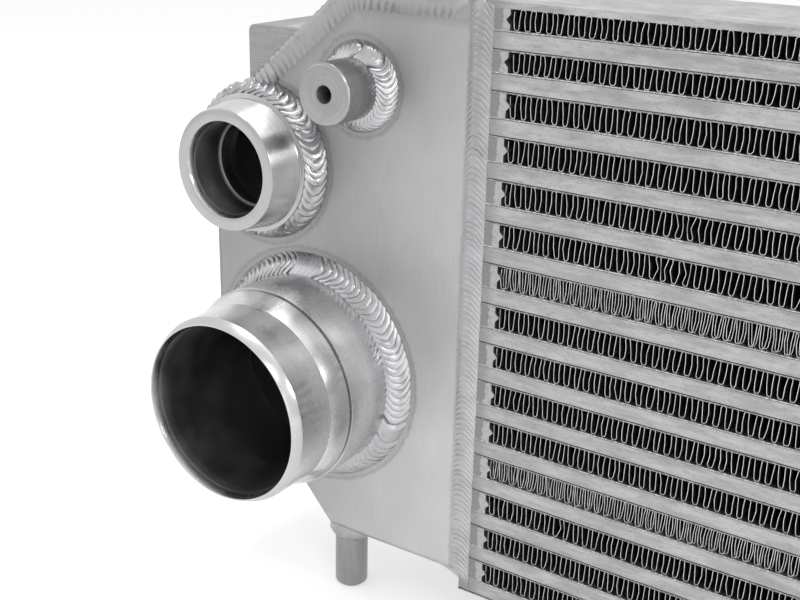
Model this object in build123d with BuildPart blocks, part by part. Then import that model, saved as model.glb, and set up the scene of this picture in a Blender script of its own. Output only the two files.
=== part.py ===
from build123d import *
from math import cos, radians, sin, sqrt, tan
import os

# Charge-air cooler: a brazed bar-and-plate core between two welded sheet tanks.
# Millimetres. X runs along the core, Y from the front face to the back, Z up.
# The origin is on the axis of the left locating peg, where its bare wall starts below the weld.

# ---- core ----
core_length = 516.0          # over the ends of the bars
core_depth = 65.0            # front face to back face
row_count = 15               # air rows, and as many charge layers
fin_height = 9.0             # air row between its two sheets
crushed_rows = 2             # air rows under the top plate that are pressed flatter
crushed_fin_height = 7.5
bar_height = 6.5
bar_depth = 8.0
sheet_thickness = 0.55
top_plate_thickness = 2.6

# ---- end bars of the air rows ----
end_bar_length = 11.5
end_bar_nose = 1.7           # pointed rib on the inner side, a groove in the crushed rows
end_bar_nose_height = 3.6

# ---- fins ----
air_fin_leg_count = 78       # each drawn leg stands for three legs of the real 2.1 mm fin
air_fin_thickness = 0.8      # measured upright, across the slope
air_fin_setback = 1.0        # behind the front and back faces
charge_fin_leg_count = 10
charge_fin_thickness = 0.6
charge_fin_setback = 3.0     # from the open ends of its passage
braze_gap = 0.1              # left between a fin's crests and its sheets

# ---- tanks ----
wall = 3.0
tank_width = 133.5           # from the core outwards
tank_step = 6.8              # the tank's floor lies this far above the core's underside
top_run = 60.2               # length of the level roof
upper_chamfer_lift = 13.3    # foot of the upper chamfer above the ring port's axis
lower_chamfer_angle = 48.1   # from the level
lower_chamfer_land = 2.45    # between the chamfer's edge and the hose port
fold_radius = 4.0            # outside radius of the folded edges
corner_radius = 5.0          # outside radius of the upright corners of the tray

# ---- locating pegs ----
peg_radius = 7.5
peg_length = 31.0
peg_chamfer = 1.5
peg_to_core = 63.1           # from the peg's axis to the end of the core
peg_inset = 9.0              # from the front face back to the peg's axis
peg_weld_width = 2.6
peg_weld_drop = 4.0          # down the peg, whose top end is bevelled as far
peg_weld_bevel = 2.0

# ---- hose port, the same on both tanks ----
hose_port_land = 11.7        # between the port and the tank's outer wall
hose_port_height = 78.4      # above the tank's floor
hose_bore_radius = 36.0
hose_mouth_radius = 37.0
hose_nose_radius = 37.6
hose_seat_radius = 39.6
hose_base_radius = 43.5
hose_shoulder_radius = 43.0
hose_groove_depth = 0.8
hose_groove_start = 30.2     # distances out from the front face
hose_groove_end = 31.5
hose_shoulder_end = 39.8
hose_seat_end = 57.6
hose_port_length = 61.6
hose_bevel_depth = 4.5

# ---- ring port ----
ring_port_from_side = 28.9
port_weld_gap = 6.12         # between the beads of the two ports
ring_lip_radius = 18.0
ring_bore_radius = 19.3
ring_mouth_radius = 20.3
ring_face_radius = 25.5
ring_foot_radius = 27.5
ring_flange_radius = 29.4
ring_flange_thickness = 9.2
ring_fillet = 0.6
ring_lip_depth = 6.6
ring_port_length = 24.5
ring_bevel_depth = 3.7

# ---- threaded boss ----
boss_from_ring_port = 50.3   # towards the core
boss_below_roof = 37.8
boss_radius = 12.2
boss_length = 23.6
boss_chamfer = 0.7
boss_thread_radius = 3.4     # tapping hole of an M8 thread
boss_thread_depth = 16.0

# ---- mounting block on the upper chamfer ----
block_from_side = 18.6       # its outer side in from the tank's outer wall
block_below_roof = 19.3      # its top face
block_setback = 5.0          # its front face behind the tank's front
block_width = 34.0
block_height = 40.0          # before the mitre
block_depth = 45.0
block_corner_radius = 3.0

# ---- weld beads ----
core_weld_width = 9.2
core_weld_rise = 2.6
seam_weld_radius = 5.5
seam_weld_inset = 3.0        # the bead's axis inside the tank's roof and walls
seam_weld_sink = 2.5         # and behind its front or back face
hose_weld_spread = 8.2       # along the plate
hose_weld_climb = 6.4        # up the port
ring_weld_spread = 5.2
ring_weld_climb = 8.4
boss_weld_spread = 6.2
boss_weld_climb = 6.1
weld_crown = 0.12            # bulge of a fillet bead, as a share of its face
block_weld_radius = 4.0

# ---- places that follow from these ----
core_left = peg_to_core
core_right = core_left + core_length
core_middle = Plane.YZ.offset((core_left + core_right) / 2)
front = -peg_inset
back = front + core_depth
floor = peg_weld_drop
core_bottom = floor - tank_step
layer_pitch = 2 * sheet_thickness + bar_height
standard_rows = row_count - crushed_rows
core_height = (row_count * layer_pitch + standard_rows * fin_height
               + crushed_rows * crushed_fin_height + top_plate_thickness)
roof = core_bottom + core_height
front_plane = Plane.XZ.offset(-front)      # sketches read X across and Z up, facing forwards
tank_side = core_left - tank_width
hose_port_x = tank_side + hose_port_land + hose_base_radius
ring_port_x = tank_side + ring_port_from_side
boss_x = ring_port_x + boss_from_ring_port
boss_level = roof - boss_below_roof
hose_port_level = floor + hose_port_height
port_spacing = (hose_base_radius + hose_weld_spread + port_weld_gap
                + ring_weld_spread + ring_flange_radius)
ring_port_level = hose_port_level + sqrt(port_spacing**2 - (hose_port_x - ring_port_x)**2)
upper_chamfer_foot = ring_port_level + upper_chamfer_lift
chamfer_slope = radians(lower_chamfer_angle)
chamfer_from_port = hose_base_radius + lower_chamfer_land
lower_chamfer_head = hose_port_level + (
    (hose_port_x - tank_side) * sin(chamfer_slope) - chamfer_from_port) / cos(chamfer_slope)
floor_start = tank_side + (lower_chamfer_head - floor) / tan(chamfer_slope)

os.makedirs("parts", exist_ok=True)


# ---- helpers ----
def layers():
    """Bottom of each charge layer, and bottom and height of the air row above it."""
    level = core_bottom
    for row in range(row_count):
        height = fin_height if row < standard_rows else crushed_fin_height
        yield level, level + layer_pitch, height
        level += layer_pitch + height


def slab(x_from, x_to, y_from, y_to, z_from, z_to):
    """A rectangular bar or sheet between six faces, added to the part being built."""
    with Locations(((x_from + x_to) / 2, (y_from + y_to) / 2, (z_from + z_to) / 2)):
        Box(x_to - x_from, y_to - y_from, z_to - z_from)


def zigzag(start, end, low, high, legs, thickness):
    """Corners of a folded fin seen end on: along its underside and back along its top."""
    step = (end - start) / legs
    lower = [(start + i * step, low if i % 2 else high - thickness) for i in range(legs + 1)]
    upper = [(x, level + thickness) for x, level in reversed(lower)]
    return lower + upper


def outline(overrun=0.0):
    """Corners of the left tank's front, from the roof at the core round to the floor."""
    return [
        Vector(core_left + overrun, roof),
        Vector(core_left - top_run, roof),
        Vector(tank_side, upper_chamfer_foot),
        Vector(tank_side, lower_chamfer_head),
        Vector(floor_start, floor),
        Vector(core_left + overrun, floor),
    ]


def inset(corners, distance):
    """The same outline with every side moved inwards by a distance."""
    moved = []
    for i, corner in enumerate(corners):
        before = (corner - corners[i - 1]).normalized()
        after = (corners[(i + 1) % len(corners)] - corner).normalized()
        into = Vector(-before.Y, before.X) + Vector(-after.Y, after.X)
        moved.append(corner + into * (2 * distance / into.length**2))
    return moved


def inner_outline():
    """Inside of the tank walls, open at the core."""
    return inset(outline(overrun=wall), wall)


def prism(corners, plane, depth):
    """A straight-sided body from an outline, going back from a plane by a depth."""
    with BuildPart() as body:
        with BuildSketch(plane):
            Polygon(*corners, align=None)
        extrude(amount=-depth)
    return body.part


def port_plane(x, z):
    """Profile plane of a turned piece: first radius, then distance out from the front face."""
    return Plane(origin=(x, front, z), x_dir=(1, 0, 0), z_dir=(0, 0, -1))


def port_axis(x, z):
    return Axis((x, front, z), (0, -1, 0))


def save(part, label):
    """Labels a finished piece and writes it out."""
    part.label = label
    export_step(part, f"parts/{label}.step")


def mirrored(part):
    """The same piece on the right-hand tank."""
    with BuildPart() as other:
        add(part)
        mirror(about=core_middle, mode=Mode.REPLACE)
    return other.part


# ---- core pieces ----
def parting_sheets():
    with BuildPart() as sheets:
        for layer, row, height in layers():
            slab(core_left, core_right, front, back, layer, layer + sheet_thickness)
            slab(core_left, core_right, front, back, row - sheet_thickness, row)
    return sheets.part


def layer_bars(y_from, y_to):
    with BuildPart() as bars:
        for layer, row, height in layers():
            slab(core_left, core_right, y_from, y_to, layer + sheet_thickness, row - sheet_thickness)
    return bars.part


def end_bars():
    """Left-hand closing bars, with a pointed rib towards the fins or, turned round, a groove."""
    inner = core_left + end_bar_length
    with BuildPart() as bars:
        with BuildSketch(front_plane):
            for number, (layer, row, height) in enumerate(layers()):
                middle = row + height / 2
                nose = end_bar_nose if number < standard_rows else -end_bar_nose
                Polygon(
                    (core_left, row),
                    (inner, row),
                    (inner, middle - end_bar_nose_height / 2),
                    (inner + nose, middle),
                    (inner, middle + end_bar_nose_height / 2),
                    (inner, row + height),
                    (core_left, row + height),
                    align=None,
                )
        extrude(amount=-core_depth)
    return bars.part


def closing_bar():
    """Short bar that shuts the lowest charge layer, which lies below the tank's floor."""
    with BuildPart() as bar:
        slab(core_left, core_left + end_bar_length, front + bar_depth, back - bar_depth,
             core_bottom + sheet_thickness, core_bottom + sheet_thickness + bar_height)
    return bar.part


def air_fins():
    first = core_left + end_bar_length + end_bar_nose + air_fin_setback
    last = core_right - end_bar_length - end_bar_nose - air_fin_setback
    with BuildPart() as fins:
        with BuildSketch(front_plane.offset(-air_fin_setback)):
            for layer, row, height in layers():
                Polygon(*zigzag(first, last, row + braze_gap, row + height - braze_gap,
                                air_fin_leg_count, air_fin_thickness), align=None)
        extrude(amount=-(core_depth - 2 * air_fin_setback))
    return fins.part


def charge_fins():
    """Turbulator strips inside the charge layers that the tanks feed."""
    with BuildPart() as fins:
        with BuildSketch(Plane.YZ.offset(core_left + charge_fin_setback)):
            for layer, row, height in list(layers())[1:]:
                Polygon(*zigzag(front + bar_depth + braze_gap, back - bar_depth - braze_gap,
                                layer + sheet_thickness + braze_gap,
                                row - sheet_thickness - braze_gap,
                                charge_fin_leg_count, charge_fin_thickness), align=None)
        extrude(amount=core_length - 2 * charge_fin_setback)
    return fins.part


def top_plate():
    with BuildPart() as plate:
        slab(core_left, core_right, front, back, roof - top_plate_thickness, roof)
    return plate.part


# ---- tank pieces, drawn for the left tank ----
def tray(bores):
    """Front wall folded back into the outer wall, the lower chamfer and the floor."""
    outer = outline()
    inner = inner_outline()
    top = outer[2].Y
    cavity = prism(inner, front_plane.offset(-wall), core_depth - 2 * wall)
    with BuildPart() as sheet:
        with BuildSketch(front_plane):
            Polygon(*inner[:3], *outer[2:], align=None)
        extrude(amount=wall - core_depth)
        outside = sheet.edges().filter_by(
            lambda edge: edge.center().Z < top - wall and edge.center().X < core_left - wall)
        fillet(outside.filter_by(Axis.Y), corner_radius)
        folded = sheet.faces().sort_by(Axis.Y)[0].edges().filter_by(
            lambda edge: edge.center().Z < top - wall and edge.center().X < core_left - wall)
        fillet(folded, fold_radius)
        add(cavity, mode=Mode.SUBTRACT)
        for x, z, radius in bores:
            with BuildSketch(front_plane):
                with Locations((x, z)):
                    Circle(radius)
            extrude(amount=-wall, mode=Mode.SUBTRACT)
    return sheet.part


def roof_strip():
    """One folded strip that makes the level roof and the upper chamfer."""
    return prism(outline()[:3] + inner_outline()[2::-1], front_plane, core_depth)


def back_plate():
    """Flat plate that closes the tray from behind, under the end of the roof strip."""
    return prism(inner_outline()[:3] + outline()[2:], front_plane.offset(wall - core_depth), wall)


def peg():
    with BuildPart() as pin:
        with BuildSketch(Plane.XY.offset(floor)):
            Circle(peg_radius)
        extrude(amount=-peg_length)
        chamfer(pin.edges().group_by(Axis.Z)[0], peg_chamfer)
        chamfer(pin.edges().group_by(Axis.Z)[-1], peg_weld_drop, peg_weld_bevel)
    return pin.part


def hose_port():
    """Turned spigot: a plain base, a groove, a shoulder and the seat for the hose."""
    with BuildPart() as spigot:
        with BuildSketch(port_plane(hose_port_x, hose_port_level)):
            Polygon(
                (hose_bore_radius, 0),
                (hose_base_radius, 0),
                (hose_base_radius, hose_groove_start),
                (hose_base_radius - hose_groove_depth, hose_groove_start),
                (hose_base_radius - hose_groove_depth, hose_groove_end),
                (hose_shoulder_radius, hose_groove_end),
                (hose_seat_radius, hose_shoulder_end),
                (hose_seat_radius, hose_seat_end),
                (hose_nose_radius, hose_port_length),
                (hose_mouth_radius, hose_port_length),
                (hose_bore_radius, hose_port_length - hose_bevel_depth),
                align=None,
            )
        revolve(axis=port_axis(hose_port_x, hose_port_level))
    return spigot.part


def ring_port():
    """Turned ring with a flange, a tapered outside and a bore that ends on a lip."""
    with BuildPart() as ring:
        with BuildSketch(port_plane(ring_port_x, ring_port_level)):
            Polygon(
                (ring_lip_radius, 0),
                (ring_flange_radius, 0),
                (ring_flange_radius, ring_flange_thickness),
                (ring_foot_radius, ring_flange_thickness),
                (ring_face_radius, ring_port_length),
                (ring_mouth_radius, ring_port_length),
                (ring_bore_radius, ring_port_length - ring_bevel_depth),
                (ring_bore_radius, ring_lip_depth),
                (ring_lip_radius, ring_lip_depth),
                align=None,
            )
        revolve(axis=port_axis(ring_port_x, ring_port_level))
        lip = ring.edges().filter_by(GeomType.CIRCLE).filter_by(
            lambda edge: abs(edge.radius - ring_lip_radius) < ring_fillet / 10
            and edge.center().Y < front - ring_fillet)
        fillet(lip, ring_fillet)
    return ring.part


def boss():
    face = front_plane.offset(boss_length)
    with BuildPart() as body:
        with BuildSketch(front_plane):
            with Locations((boss_x, boss_level)):
                Circle(boss_radius)
        extrude(amount=boss_length)
        chamfer(body.edges().group_by(Axis.Y)[0], boss_chamfer)
        with Locations(face):
            with Locations((boss_x, boss_level)):
                Hole(boss_thread_radius, depth=boss_thread_depth)
    return body.part


def block():
    """Bar stock mitred onto the upper chamfer, its outer top corner rounded."""
    side = tank_side + block_from_side
    top = roof - block_below_roof
    tank = prism(outline(), front_plane, core_depth)
    with BuildPart() as bar:
        slab(side, side + block_width, front + block_setback, front + block_setback + block_depth,
             top - block_height, top)
        corner = bar.edges().filter_by(Axis.Y).sort_by(lambda edge: edge.center().Z - edge.center().X)
        fillet(corner[-1], block_corner_radius)
        add(tank, mode=Mode.SUBTRACT)
    return bar.part


# ---- weld beads, drawn for the left tank ----
def ring_weld(x, z, radius, spread, climb):
    """Fillet bead all round a port, with a slightly crowned face."""
    middle = Vector(radius + spread / 2, climb / 2) + Vector(climb, spread) * weld_crown
    with BuildPart() as bead:
        with BuildSketch(port_plane(x, z)):
            with BuildLine():
                Line((radius, climb), (radius, 0))
                Line((radius, 0), (radius + spread, 0))
                ThreePointArc((radius + spread, 0), middle, (radius, climb))
            make_face()
        revolve(axis=port_axis(x, z))
    return bead.part


def hose_port_weld():
    """The spigot's bead, which ends at the edge of the tank's front wall."""
    whole = ring_weld(hose_port_x, hose_port_level, hose_base_radius,
                      hose_weld_spread, hose_weld_climb)
    plate = prism(outline(), front_plane.offset(2 * hose_weld_climb), 2 * hose_weld_climb)
    with BuildPart() as bead:
        add(whole)
        add(plate, mode=Mode.INTERSECT)
    return bead.part


def ring_port_weld():
    return ring_weld(ring_port_x, ring_port_level, ring_flange_radius,
                     ring_weld_spread, ring_weld_climb)


def seam_weld(corner_count, depth_from_front):
    """Corner bead along the edge of the tank, between the face and the roof or walls."""
    line = inset(outline(), seam_weld_inset)[:corner_count]
    start = core_left - core_weld_width / 2
    line = [Vector(min(point.X, start), point.Y) for point in line]
    tank = prism(outline(), front_plane, core_depth)
    with BuildPart() as bead:
        with BuildLine(front_plane.offset(-depth_from_front)) as route:
            Polyline(*map(tuple, line))
        with BuildSketch(Plane(origin=route.line @ 0, z_dir=route.line % 0)):
            Circle(seam_weld_radius)
        sweep(path=route.line, transition=Transition.RIGHT)
        add(tank, mode=Mode.SUBTRACT)
    return bead.part


def front_seam_weld():
    """The left tank's corner bead, which stops at the mounting block and the ring port."""
    whole = seam_weld(3, seam_weld_sink)
    stops = [block(), ring_port(), ring_port_weld()]
    with BuildPart() as bead:
        add(whole)
        for stop in stops:
            add(stop, mode=Mode.SUBTRACT)
    return bead.part


def core_weld():
    """Bead all round the joint of tank and core, with a fillet where the core is deeper."""
    half = core_weld_width / 2
    radius = (half**2 + core_weld_rise**2) / (2 * core_weld_rise)
    sink = radius - core_weld_rise
    low = core_bottom + radius
    below = core_bottom - tank_step
    under_floor = [(core_left - half, floor), (core_left, floor), (core_left, core_bottom)]
    beyond_fillet = [
        (core_left, core_bottom),
        (core_left - half, floor),
        (core_left - 2 * half, floor),
        (core_left - 2 * half, below),
        (core_left, below),
    ]
    fillet_body = prism(under_floor, front_plane, core_depth)
    trim = prism(beyond_fillet, front_plane.offset(half), core_depth + 2 * half)
    tank = prism(outline(), front_plane, core_depth)
    with BuildPart() as core:
        slab(core_left, core_right, front, back, core_bottom, roof)
    with BuildPart() as bead:
        with BuildLine(Plane.YZ.offset(core_left)) as route:
            Polyline((front + sink, (low + roof) / 2), (front + sink, roof - sink),
                     (back - sink, roof - sink), (back - sink, low), (front + sink, low), close=True)
        with BuildSketch(Plane.XY.offset((low + roof) / 2)):
            with Locations((core_left, front + sink)):
                Circle(radius)
        sweep(path=route.line, transition=Transition.RIGHT)
        add(fillet_body)
        add(trim, mode=Mode.SUBTRACT)
        add(tank, mode=Mode.SUBTRACT)
        add(core.part, mode=Mode.SUBTRACT)
    return bead.part


def block_weld():
    """Beads along the block's two long edges on the chamfer."""
    body = block()
    foot = body.faces().sort_by(lambda face: face.center().Z - face.center().X)[0]
    tank = prism(outline(), front_plane, core_depth)
    seam = seam_weld(3, seam_weld_sink)
    with BuildPart() as beads:
        for edge in foot.edges().filter_by(Axis.Y):
            with BuildSketch(front_plane.offset(-block_setback)):
                with Locations((edge.center().X, edge.center().Z)):
                    Circle(block_weld_radius)
            extrude(amount=-block_depth)
        for neighbour in [tank, body, seam]:
            add(neighbour, mode=Mode.SUBTRACT)
    return beads.part


def peg_weld():
    with BuildPart() as bead:
        with BuildSketch(Plane.XZ):
            Polygon((peg_radius - peg_weld_bevel, floor), (peg_radius + peg_weld_width, floor),
                    (peg_radius, floor - peg_weld_drop), align=None)
        revolve(axis=Axis.Z)
    return bead.part


# ---- the whole cooler ----
save(parting_sheets(), "parting_sheets")
save(layer_bars(front, front + bar_depth), "front_bars")
save(layer_bars(back - bar_depth, back), "rear_bars")
save(end_bars(), "left_end_bars")
save(mirrored(end_bars()), "right_end_bars")
save(closing_bar(), "left_closing_bar")
save(mirrored(closing_bar()), "right_closing_bar")
save(air_fins(), "air_fins")
save(charge_fins(), "charge_fins")
save(top_plate(), "top_plate")

hose_bore = (hose_port_x, hose_port_level, hose_bore_radius)
ring_bore = (ring_port_x, ring_port_level, ring_lip_radius)
save(tray([hose_bore, ring_bore]), "left_tank_tray")
save(roof_strip(), "left_tank_roof")
save(back_plate(), "left_tank_back")
save(peg(), "left_peg")
save(hose_port(), "inlet_port")
save(ring_port(), "ring_port")
save(boss(), "threaded_boss")
save(block(), "mounting_block")

save(mirrored(tray([hose_bore])), "right_tank_tray")
save(mirrored(roof_strip()), "right_tank_roof")
save(mirrored(back_plate()), "right_tank_back")
save(mirrored(peg()), "right_peg")
save(mirrored(hose_port()), "outlet_port")

save(hose_port_weld(), "inlet_port_weld")
save(mirrored(hose_port_weld()), "outlet_port_weld")
save(ring_port_weld(), "ring_port_weld")
save(ring_weld(boss_x, boss_level, boss_radius, boss_weld_spread, boss_weld_climb), "boss_weld")
save(block_weld(), "block_weld")
save(front_seam_weld(), "left_front_seam_weld")
save(mirrored(seam_weld(3, seam_weld_sink)), "right_front_seam_weld")
rear_seam = seam_weld(len(outline()), core_depth - seam_weld_sink)
save(rear_seam, "left_rear_seam_weld")
save(mirrored(rear_seam), "right_rear_seam_weld")
joint_weld = core_weld()
save(joint_weld, "left_core_weld")
save(mirrored(joint_weld), "right_core_weld")
save(peg_weld(), "left_peg_weld")
save(mirrored(peg_weld()), "right_peg_weld")
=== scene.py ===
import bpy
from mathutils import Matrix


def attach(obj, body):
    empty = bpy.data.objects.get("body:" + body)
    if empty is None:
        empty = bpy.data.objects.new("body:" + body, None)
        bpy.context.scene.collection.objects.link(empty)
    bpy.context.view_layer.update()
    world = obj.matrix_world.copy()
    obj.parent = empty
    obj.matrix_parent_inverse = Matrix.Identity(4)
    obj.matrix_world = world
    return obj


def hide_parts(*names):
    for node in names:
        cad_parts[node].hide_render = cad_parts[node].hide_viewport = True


bl_info = {
    "name": "Charge Air Cooler",
    "version": (1, 0, 0),
    "blender": (4, 5, 0),
    "location": "View3D > Sidebar > Cooler",
    "description": "Bar-and-plate charge air cooler with folded fins, turned ports and rippled weld beads",
    "category": "Add Mesh",
}

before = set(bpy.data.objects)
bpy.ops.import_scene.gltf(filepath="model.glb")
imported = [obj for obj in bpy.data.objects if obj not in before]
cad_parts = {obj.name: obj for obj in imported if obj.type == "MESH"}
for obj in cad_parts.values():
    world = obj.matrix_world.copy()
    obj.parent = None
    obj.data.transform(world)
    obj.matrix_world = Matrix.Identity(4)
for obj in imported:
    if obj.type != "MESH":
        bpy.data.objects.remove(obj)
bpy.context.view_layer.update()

import math
import random

import bpy
from mathutils import Matrix, Vector

mm = 0.001

# ---- the cooler's own sizes, in mm, in the frame's axes ----
CORE_LEFT, CORE_RIGHT = 63.1, 579.1
MIDDLE = (CORE_LEFT + CORE_RIGHT) / 2
FRONT, BACK = -9.0, 56.0
CORE_BOTTOM, FLOOR, ROOF = -2.8, 4.0, 245.8
LAYER, SHEET, BAR_DEPTH = 7.6, 0.55, 8.0
BAR_CUTS = 90
ROW_COUNT, CRUSHED_ROWS = 15, 2
ROW_HEIGHT, CRUSHED_HEIGHT = 9.0, 7.5
FIN_START, FIN_SETBACK = 75.8, 1.0
# centres of the ports as seen from the front, and their radii where they meet the tank
HOSE, RING, BOSS = (-15.2, 82.4), (-41.5, 171.0), (8.8, 208.0)
OPPOSITE = (2 * MIDDLE - HOSE[0], HOSE[1])
HOSE_RADIUS, RING_RADIUS, BOSS_RADIUS = 43.5, 29.4, 12.2
PEG_TIP = -27.0
# fins that something has knocked aside: place along the core, height and how far
BENT_FINS = [(137.4, 158.7, 0.9), (142.0, 159.5, -0.8), (148.5, 158.0, 1.0), (144.5, 175.0, 0.8),
             (150.5, 175.6, -0.9), (108.6, 42.5, 0.9), (402.0, 92.0, 1.0), (330.0, 208.0, -0.9)]
BENT_REACH = 3.2
# rows that hold a second strip, set back and shifted so that its legs show between the first one's
DOUBLED_ROWS = (3, 8)
# the left tank's outline, from the core along the roof, down the end and back along the floor
TANK_EDGE = [(63.1, 245.8), (2.9, 245.8), (-70.4, 184.3), (-70.4, 75.1), (-6.6, 4.0), (63.1, 4.0)]
# where the tank's seam beads stop, just short of the core
SEAM_END = 58.5


def linear(code):
    """A colour written as sRGB hex, in linear light."""
    parts = [int(code[i:i + 2], 16) / 255 for i in (0, 2, 4)]
    return tuple(p / 12.92 if p <= 0.04045 else ((p + 0.055) / 1.055) ** 2.4 for p in parts)


def length(name, description, default):
    return bpy.props.FloatProperty(
        name=name, description=description, default=default, min=0.0, unit="LENGTH", precision=5)


def colour(name, description, code):
    return bpy.props.FloatVectorProperty(
        name=name, description=description, default=linear(code), size=3, min=0.0, max=1.0,
        subtype="COLOR")


class CoolerSizes(bpy.types.PropertyGroup):
    """Sizes of the fine work that the solids leave out."""

    fin_wave: length("Fin wave", "Two legs of the folded air fin", 0.004234)
    fin_strip: length("Fin stock", "Thickness of the fin strip", 0.0002)
    fin_wander: length("Fin wander", "How far the legs stray from an even spacing", 0.0011)
    bar_edge: length("Bar edge", "Rounding of the bars' long edges", 0.0004)
    turned_edge: length("Turned edge", "Broken edges of the turned pieces", 0.00025)
    port_ripple: length("Port ripple", "Spacing of the ripples round the hose ports", 0.0031)
    boss_ripple: length("Boss ripple", "Spacing of the ripples round the boss", 0.0019)
    ring_ripple: length("Ring ripple", "Spacing of the ripples round the ring port", 0.0037)
    seam_ripple: length("Seam ripple", "Spacing of the ripples along the tank seams", 0.0035)
    core_ripple: length("Core ripple", "Spacing of the ripples between tank and core", 0.0024)
    ripple_relief: length("Ripple relief", "Height of a ripple over its crease", 0.0007)


class CoolerFinishes(bpy.types.PropertyGroup):
    """Colours of the bare aluminium as each process leaves it, with painted shade for the bores and the fin
    passages, and the studio floor.
    """

    sheet: colour("Tank sheet", "Satin rolled sheet", "9E9E9F")
    turned: colour("Turned", "Bright turned surfaces", "D5D5D6")
    # painted shade for the inside of the bores
    bore: colour("Bore", "Dark bores that the lathe left rough", "7A7A7C")
    weld: colour("Weld", "Fresh weld metal", "BEBEC0")
    bars: colour("Bars", "Brazed bars", "B8B8B9")
    # painted shade for the fin strip inside the air passages
    fins: colour("Fins", "Cut edges of the fin strip", "DADADA")
    passage_shade: colour("Passage", "Fin strip inside the air passages", "404041")
    floor: colour("Floor", "Studio floor", "F2F2F2")


# ---- shaping ----
def start():
    """Everything deselected before a new primitive is added."""
    if bpy.context.object and bpy.context.object.mode != "OBJECT":
        bpy.ops.object.mode_set(mode="OBJECT")
    bpy.ops.object.select_all(action="DESELECT")


def hold(obj):
    """Only this object selected and active."""
    start()
    obj.select_set(True)
    bpy.context.view_layer.objects.active = obj


def edit_all(obj):
    """This object in edit mode with all of it selected."""
    hold(obj)
    bpy.ops.object.mode_set(mode="EDIT")
    bpy.ops.mesh.select_all(action="SELECT")


def place_in_mesh():
    bpy.ops.object.transform_apply(location=True, rotation=True, scale=True)


def pick(obj, wanted):
    """Selects in edit mode the vertices in a set, or those whose place, in mm, passes a test."""
    if obj.mode != "OBJECT":
        bpy.ops.object.mode_set(mode="OBJECT")
    mesh = obj.data
    if callable(wanted):
        chosen = [bool(wanted(*(v.co / mm))) for v in mesh.vertices]
    else:
        chosen = [v.index in wanted for v in mesh.vertices]
    mesh.polygons.foreach_set("select", [False] * len(mesh.polygons))
    mesh.edges.foreach_set("select", [False] * len(mesh.edges))
    mesh.vertices.foreach_set("select", chosen)
    bpy.ops.object.mode_set(mode="EDIT")
    bpy.ops.mesh.select_mode(type="VERT")


def shift(x=0.0, y=0.0, z=0.0):
    bpy.ops.transform.translate(value=(x * mm, y * mm, z * mm))


def push(obj, spot, reach, move):
    """Moves the surface near a spot, in mm, with a soft edge."""
    centre = Vector(spot)
    near = min((v.co / mm - centre).length for v in obj.data.vertices)
    pick(obj, lambda x, y, z: (Vector((x, y, z)) - centre).length < near + 0.05)
    bpy.ops.transform.translate(value=tuple(m * mm for m in move), use_proportional_edit=True,
                                proportional_edit_falloff="SMOOTH", proportional_size=reach * mm)
    bpy.ops.object.mode_set(mode="OBJECT")


def modify(obj, kind, **settings):
    """Adds a modifier with its settings and applies it."""
    modifier = obj.modifiers.new(kind.title(), kind)
    for name, value in settings.items():
        setattr(modifier, name, value)
    bpy.context.view_layer.objects.active = obj
    bpy.ops.object.modifier_apply(modifier=modifier.name)


def uneven(obj, amount, size, direction="NORMAL"):
    """Small irregularity over a distance of size mm, up to half of amount mm either way."""
    texture = bpy.data.textures.new("unevenness", "CLOUDS")
    texture.noise_scale = size * mm
    texture.noise_depth = 1
    modify(obj, "DISPLACE", texture=texture, strength=amount * mm, mid_level=0.5,
           direction=direction, texture_coords="GLOBAL")
    bpy.data.textures.remove(texture)


def tidy(obj, distance=0.001):
    """Merges doubles and turns the faces outwards."""
    edit_all(obj)
    bpy.ops.mesh.remove_doubles(threshold=distance * mm)
    bpy.ops.mesh.normals_make_consistent(inside=False)
    bpy.ops.object.mode_set(mode="OBJECT")


def settle(obj, angle=30):
    """Puts the place into the mesh and smooths all but the sharp edges."""
    hold(obj)
    place_in_mesh()
    bpy.ops.object.shade_smooth_by_angle(angle=math.radians(angle))


def join(name, parts):
    start()
    for part in parts:
        part.select_set(True)
    bpy.context.view_layer.objects.active = parts[0]
    if len(parts) > 1:
        bpy.ops.object.join()
    parts[0].name = name
    return parts[0]


def copy(obj, name, move=(0, 0, 0)):
    """A copy with its own mesh, moved by some mm."""
    hold(obj)
    bpy.ops.object.duplicate()
    made = bpy.context.object
    made.name = name
    bpy.ops.transform.translate(value=tuple(m * mm for m in move))
    place_in_mesh()
    return made


def mirrored(obj, name):
    """The same piece at the other end of the cooler."""
    made = copy(obj, name)
    edit_all(made)
    bpy.ops.transform.resize(value=(-1, 1, 1), center_override=(MIDDLE * mm, 0, 0))
    bpy.ops.mesh.normals_make_consistent(inside=False)
    bpy.ops.object.mode_set(mode="OBJECT")
    return made


def piece(obj, material, slot, *stands_for):
    """A finished piece: its finish, its body and the nodes that it stands for."""
    obj.data.materials.clear()
    obj.data.materials.append(material)
    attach(obj, "root")
    if stands_for:
        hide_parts(*stands_for)
    return obj


def pair(left, right_name, material, slot, left_node, right_node):
    """A finished piece at the left end, and its mirror image at the right end."""
    piece(mirrored(left, right_name), material, slot, right_node)
    piece(left, material, slot, left_node)


def dress(material, *nodes):
    """Gives CAD nodes a finish."""
    for name in nodes:
        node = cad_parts[name]
        for i in range(max(1, len(node.material_slots))):
            if node.material_slots:
                node.material_slots[i].material = material
            else:
                node.data.materials.append(material)


# ---- finishes ----
SOFT = {"interpolation_type": "SMOOTHSTEP"}
# a streak round a port is sized as if the angle were spread over this many mm a radian
STREAK_SPREAD = 30.0
# each port and how far from its axis its weld reaches
WELD_TOES = ((HOSE, 52.0), (OPPOSITE, 52.0), (RING, 34.8), (BOSS, 18.6))


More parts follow.
